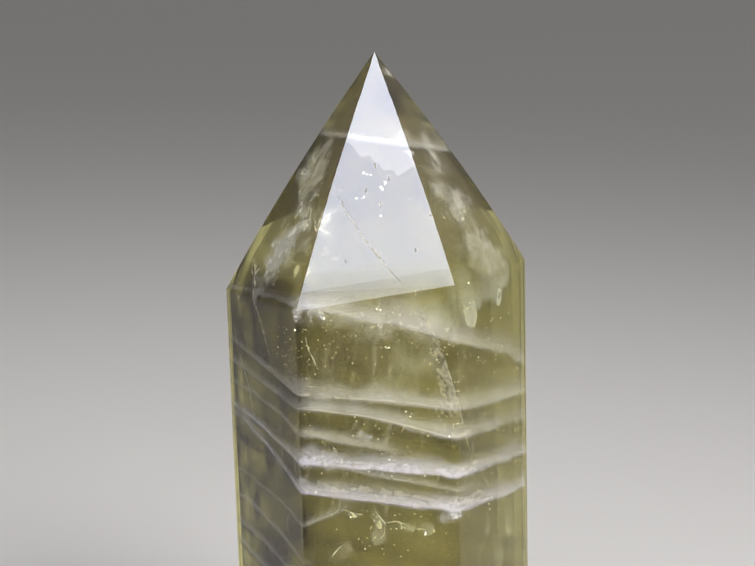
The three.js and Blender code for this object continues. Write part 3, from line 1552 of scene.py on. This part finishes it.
    def scratches(self) -> None:
        """Draw the wear on the front facet: a long scratch and a few nicks, just proud of the polish."""
        dull = MilkyVeil("dull_surface_hairline", "#8b8983", wisp_mm=0.5, wisp_low=1.0).material()
        marks = (
            (
                (-6.8, -15.5, 130.3),
                (-4.1, -18.5, 125.6),
                (-0.5, -21.5, 120.7),
                (2.8, -23.9, 116.9),
                (4.5, -25.0, 115.0),
            ),
            ((0.5, -12.7, 135.9), (0.6, -13.2, 135.0)),
            ((2.9, -14.3, 133.6), (3.0, -14.8, 132.7)),
            ((-1.3, -15.2, 131.5), (-1.4, -15.7, 130.6)),
            ((1.2, -17.0, 128.8), (1.4, -17.4, 128.1)),
            ((-5.6, -22.1, 119.0), (-5.3, -22.4, 118.4)),
            ((7.5, -22.0, 120.9), (7.8, -22.3, 120.4)),
            ((10.4, -18.9, 126.8), (10.6, -19.2, 126.3)),
        )
        # Real scratches are hundredths of a millimetre wide, and are drawn this broad to show.
        lines = FineLines("scratches_front_facet", marks, width_mm=0.42, cover=0.7, seed=771, skin=-0.02)
        lines.build(self.shape, dull)

    def lobes(self) -> None:
        """Hang the milky lobes under the right shoulder and the pale drips low in the column."""
        shoulder = MilkyVeil("milky_lobe", "#e6eadb", wisp_mm=1.2, wisp_low=0.8).material()
        ahead = (0.0, -1.0, 0.25)
        hanging = (
            Lobe((12.4, -20.0, 119.0), (16.6, -17.8, 104.6), width_mm=11.5, cover=0.55, facing=self.right),
            Lobe((16.4, -17.5, 117.0), (18.4, -16.2, 107.6), width_mm=8.0, cover=0.28, facing=self.right),
            Lobe((19.4, -14.0, 118.6), (20.4, -13.2, 108.6), width_mm=8.0, cover=0.3, facing=self.right),
            Lobe((21.6, -11.0, 118.6), (22.6, -9.4, 106.8), width_mm=8.6, cover=0.42, facing=self.right),
            Lobe((23.6, -7.0, 118.6), (24.5, -6.6, 109.6), width_mm=6.0, cover=0.26, facing=self.right),
            Lobe((7.0, -23.0, 116.5), (10.4, -23.4, 105.6), width_mm=9.0, cover=0.36, facing=ahead),
            Lobe((11.0, -22.6, 114.0), (13.0, -23.0, 105.2), width_mm=6.0, cover=0.36, facing=ahead),
        )
        MilkyLobes("lobes_right_shoulder", hanging, seed=601).build(self.shape, shoulder)
        drip = MilkyVeil("pale_crack_drip", "#e6e4bc", wisp_mm=1.0, wisp_low=0.5).material()
        dripping = (
            Lobe((-2.0, -24.8, 72.8), (-0.2, -24.8, 67.4), width_mm=2.6, cover=0.55, facing=self.front),
            Lobe((1.2, -24.8, 69.4), (-1.4, -24.8, 64.2), width_mm=5.4, cover=0.45, facing=self.front),
            Lobe((2.0, -24.8, 68.6), (6.2, -24.8, 66.9), width_mm=2.6, cover=0.5, facing=self.front),
            Lobe((5.8, -24.8, 68.2), (10.0, -24.8, 66.4), width_mm=4.2, cover=0.45, facing=self.front),
            Lobe((-7.6, -24.8, 71.0), (-4.8, -24.8, 69.8), width_mm=1.6, cover=0.6, facing=self.front),
            Lobe((-10.6, -24.4, 60.2), (-6.0, -24.4, 64.4), width_mm=6.0, cover=0.3, facing=self.front),
            Lobe((19.6, -14.4, 68.0), (19.8, -14.0, 61.4), width_mm=3.4, cover=0.3, facing=self.right),
            Lobe((21.4, -11.2, 63.5), (22.0, -10.0, 53.0), width_mm=8.0, cover=0.25, facing=self.right),
            Lobe((24.0, -6.2, 67.0), (24.4, -5.4, 58.0), width_mm=7.4, cover=0.28, facing=self.right),
        )
        MilkyLobes("drips_low", dripping, seed=611).build(self.shape, drip)

    def haze(self) -> None:
        """Wrap the thin ghosts of the outline one inside another, with a dark shell of painted shade under the
        left faces.
        """
        olive = ColourAndShadeHaze("olive_bubble_haze", "#8d8450").material()
        painted_shade_finish = ColourAndShadeHaze("painted_shade_haze", "#3a2c08").material()
        brown = ColourAndShadeHaze("brown_tip_haze", "#6b5f45").material()
        outer = HazeShell("haze_outer", depth_mm=5.0, cover=0.35, seed=200, swell=0.12)
        outer.build(self.shape, olive)
        inner = HazeShell("haze_inner", depth_mm=12.0, cover=0.35, seed=210, swell=0.25)
        inner.build(self.shape, olive)
        # Painted shade: a dark shell just under the left faces darkens that side of the stone.
        left = HazeShell(
            "painted_shade_left_zone", depth_mm=1.4, cover=1.0, seed=220,
            from_deg=-158.0, from_soft_deg=25.0, to_deg=-29.5, to_soft_deg=3.0,
            ceiling=117.0, ceiling_soft=6.0, lumpy=0.7, lump_mm=(3.2, 3.2, 5.5),
            rounding=1, swell=0.05, turns=180,
        )
        left.build(self.shape, painted_shade_finish)
        back = HazeShell(
            "haze_right_back", depth_mm=1.6, cover=0.62, seed=240,
            from_deg=66.0, from_soft_deg=20.0, to_deg=158.0, to_soft_deg=25.0,
            ceiling=122.0, ceiling_soft=16.0, lumpy=0.3,
            rounding=1, swell=0.05,
        )
        back.build(self.shape, olive)
        tip = HazeShell(
            "haze_tip", depth_mm=3.4, cover=0.6, seed=250,
            foot=117.0, foot_soft=10.0, lumpy=0.5, lump_mm=(4.0, 4.0, 6.0), levels=60,
        )
        tip.build(self.shape, brown)
        front_left = WispCloud(
            "smoky_front_left", centre=(-7.0, -21.0, 100.5), radius=(9.0, 4.0, 4.0),
            count=90, wisp_mm=2.2, cover=0.3, seed=233,
        )
        front_left.build(self.shape, brown)
        # Painted shade: dark wisps in the tip dim the light that the tip throws back.
        dark_tip = WispCloud(
            "painted_shade_tip", centre=(2.5, -2.5, 146.0), radius=(3.0, 2.5, 4.0),
            count=36, wisp_mm=2.8, cover=0.55, seed=231,
        )
        dark_tip.build(self.shape, painted_shade_finish)


@dataclass(frozen=True)
class Softbox:
    """A cloth-fronted lamp aimed at the middle of the crystal: azimuth 0 is the front, 90 the right."""

    name: str
    azimuth_deg: float
    elevation_deg: float
    distance_m: float
    size_m: tuple[float, float]
    radiance: float
    roll_deg: float = 0.0
    spread_deg: float = 180.0
    colour: str = "#ffffff"
    soft_foot: float = 0.0
    aim_m: Point = (0.0, 0.0, 0.12)

    def hang(self) -> bpy.types.Object:
        """Hang the softbox.

        Returns:
            The lamp.
        """
        azimuth, elevation = math.radians(self.azimuth_deg), math.radians(self.elevation_deg)
        level = math.cos(elevation)
        back = Vector((math.sin(azimuth) * level, -math.cos(azimuth) * level, math.sin(elevation)))
        data = bpy.data.lights.new(self.name, "AREA")
        data.shape = "RECTANGLE"
        data.size, data.size_y = self.size_m
        data.energy = self.radiance * math.pi * self.size_m[0] * self.size_m[1]
        data.spread = math.radians(self.spread_deg)
        data.color = linear(self.colour)[:3]
        lamp = bpy.data.objects.new(self.name, data)
        place = Vector(self.aim_m) + back * self.distance_m
        turn = (-back).to_track_quat("-Z", "Y").to_matrix().to_4x4()
        roll = Matrix.Rotation(math.radians(self.roll_deg), 4, "Z")
        lamp.matrix_world = Matrix.Translation(place) @ turn @ roll
        bpy.context.scene.collection.objects.link(lamp)
        if self.soft_foot > 0:
            self.soften_foot(lamp)
        return lamp

    def soften_foot(self, lamp: bpy.types.Object) -> None:
        """Let the softbox dim towards its lower edge, as its cloth does where the baffle ends.

        Args:
            lamp: the lamp to soften.
        """
        lamp.data.use_nodes = True
        tree = lamp.data.node_tree
        tree.nodes.clear()
        place = add(tree, "ShaderNodeNewGeometry")
        parts = add(tree, "ShaderNodeSeparateXYZ", links={0: place.outputs["Parametric"]})
        rise = add(
            tree,
            "ShaderNodeMapRange",
            {"interpolation_type": "SMOOTHSTEP"},
            {"Value": parts.outputs[1]},
            {"From Min": 0.0, "From Max": self.soft_foot, "To Min": 0.0, "To Max": 1.0},
        )
        glow = add(tree, "ShaderNodeEmission", links={"Strength": rise.outputs["Result"]})
        add(tree, "ShaderNodeOutputLight", links={"Surface": glow.outputs["Emission"]})


@dataclass(frozen=True)
class RoomGlow:
    """The light of a pale room: bright overhead towards the window and dim at the horizon."""

    name: str = "studio_glow"
    window: Point = (0.42, -0.3, 0.86)
    dim_from: float = 0.1
    bright_from: float = 1.0
    dim: float = 0.25
    bright: float = 1.0

    def light(self) -> bpy.types.World:
        """Fill the room with its glow.

        Returns:
            The world that gives the glow.
        """
        world = bpy.data.worlds.new(self.name)
        world.use_nodes = True
        tree = world.node_tree
        tree.nodes.clear()
        aim = add(tree, "ShaderNodeTexCoord")
        towards = add(
            tree,
            "ShaderNodeVectorMath",
            {"operation": "DOT_PRODUCT"},
            {0: aim.outputs["Generated"]},
            {1: self.window},
        )
        rise = add(
            tree,
            "ShaderNodeMapRange",
            {"interpolation_type": "SMOOTHSTEP"},
            {"Value": towards.outputs["Value"]},
            {
                "From Min": self.dim_from,
                "From Max": self.bright_from,
                "To Min": self.dim,
                "To Max": self.bright,
            },
        )
        glow = add(
            tree,
            "ShaderNodeBackground",
            links={"Strength": rise.outputs["Result"]},
            values={"Color": linear("#ffffff")},
        )
        add(tree, "ShaderNodeOutputWorld", links={"Surface": glow.outputs["Background"]})
        bpy.context.scene.world = world
        return world


@dataclass
class Studio:
    """A plain pale floor, soft lamps and the camera."""

    target_mm: Point = (0.39, -0.1, 109.97)
    distance_mm: float = 335.6
    pitch_deg: float = 11.75
    roll_deg: float = -1.55
    lens_mm: float = 79.94
    sensor_mm: float = 36.0
    floor_size_m: float = 12.0
    softboxes: tuple[Softbox, ...] = (
        Softbox(
            "front_softbox", azimuth_deg=-11.5, elevation_deg=54.0, distance_m=0.9, size_m=(0.32, 0.45),
            radiance=13.0, roll_deg=6.0, colour="#e1e8ff", soft_foot=0.2,
        ),
        Softbox(
            "overhead_softbox", azimuth_deg=30.0, elevation_deg=78.0, distance_m=0.8, size_m=(0.7, 0.5),
            radiance=3.6,
        ),
        Softbox(
            "right_softbox", azimuth_deg=42.0, elevation_deg=34.0, distance_m=0.9, size_m=(0.5, 0.5),
            radiance=4.5, spread_deg=60.0,
        ),
    )
    most_bounces: int = 10
    diffuse_bounces: int = 3
    glossy_bounces: int = 6
    most_layers: int = 40

    def floor(self) -> None:
        """Lay the pale floor under the base."""
        half = self.floor_size_m / 2
        corners = [(-half, -half, 0), (half, -half, 0), (half, half, 0), (-half, half, 0)]
        mesh = bpy.data.meshes.new("studio_floor")
        mesh.from_pydata(corners, [], [(0, 1, 2, 3)])
        mesh.materials.append(StudioPaper().material())
        floor = bpy.data.objects.new("studio_floor", mesh)
        bpy.context.scene.collection.objects.link(floor)
        LOG.info("%s: laid", floor.name)

    def lights(self) -> None:
        """Hang the softboxes and set the room's glow."""
        for softbox in self.softboxes:
            LOG.info("%s: hung", softbox.hang().name)
        LOG.info("%s: set", RoomGlow().light().name)

    def camera(self) -> None:
        """Place the camera, pitched down and turned a little about its own line of sight."""
        pitch, roll = math.radians(self.pitch_deg), math.radians(self.roll_deg)
        back = Vector((0, -math.cos(pitch), math.sin(pitch)))
        place = (Vector(self.target_mm) + back * self.distance_mm) * MM
        turn = (-back).to_track_quat("-Z", "Y").to_matrix().to_4x4()
        data = bpy.data.cameras.new("studio_camera")
        data.lens, data.sensor_width = self.lens_mm, self.sensor_mm
        camera = bpy.data.objects.new("studio_camera", data)
        camera.matrix_world = Matrix.Translation(place) @ turn @ Matrix.Rotation(roll, 4, "Z")
        bpy.context.scene.collection.objects.link(camera)
        bpy.context.scene.camera = camera
        LOG.info("%s: placed", camera.name)

    def rendering(self) -> None:
        """Let light pass through the many layers, and show colours plainly."""
        scene = bpy.context.scene
        scene.view_settings.view_transform = "Standard"
        scene.cycles.max_bounces = self.most_bounces
        scene.cycles.diffuse_bounces = self.diffuse_bounces
        scene.cycles.glossy_bounces = self.glossy_bounces
        scene.cycles.transmission_bounces = self.most_bounces
        scene.cycles.transparent_max_bounces = self.most_layers
        scene.cycles.use_denoising = True
        scene.cycles.denoising_input_passes = "RGB_ALBEDO"


def main() -> None:
    """Build every sub-assembly in order."""
    logging.basicConfig(level=logging.INFO, format="%(name)s: %(message)s")
    shape = CrystalShape()
    CrystalBody(shape).dress()
    inclusions = Inclusions(shape)
    inclusions.growth_veils()
    inclusions.clouds()
    inclusions.cracks()
    inclusions.specks()
    inclusions.lobes()
    inclusions.haze()
    studio = Studio()
    studio.floor()
    studio.lights()
    studio.camera()
    studio.rendering()


if __name__ == "__main__":
    main()
